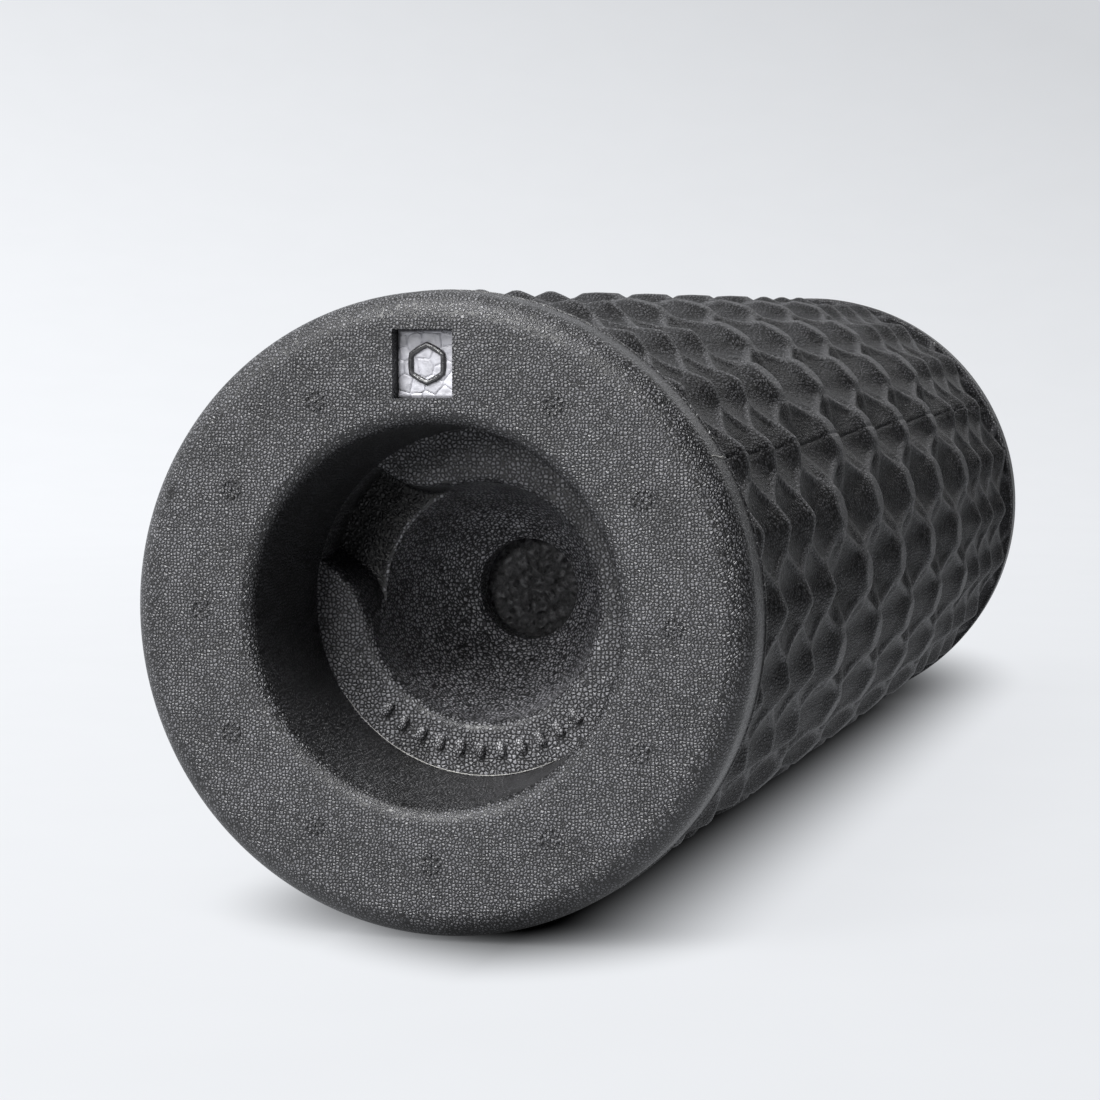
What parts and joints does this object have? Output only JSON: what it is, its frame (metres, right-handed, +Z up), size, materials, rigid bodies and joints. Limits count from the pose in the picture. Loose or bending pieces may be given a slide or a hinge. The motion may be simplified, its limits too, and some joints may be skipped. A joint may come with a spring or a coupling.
{
  "type": "foam roller",
  "caption": "Black foam massage roller with a honeycomb relief, smooth end rings and a round recess with a finger slot in each end.",
  "frame": {"origin": "on the floor, under the middle of the roller as it lies on its side", "axes": "+Y along the roller's axis, towards the rear end; +Z up; the front face is at -Y"},
  "size_m": [0.13, 0.39, 0.13],
  "materials": {
    "relief_foam": "pebbled black foam skin",
    "smooth_foam": "finely pebbled black foam skin",
    "recess_foam": "pebbled black foam skin",
    "cut_foam": "rough cut foam",
    "badge_foam": "smooth foam beads, satin"
  },
  "bodies": {
    "root": {"upper_shell": "relief_foam", "lower_shell": "relief_foam", "front_end_cap": "smooth_foam", "rear_end_cap": "smooth_foam", "front_cup": "recess_foam", "rear_cup": "recess_foam", "foam_core": "cut_foam", "front_badge": "badge_foam"}
  },
  "joints": []
}
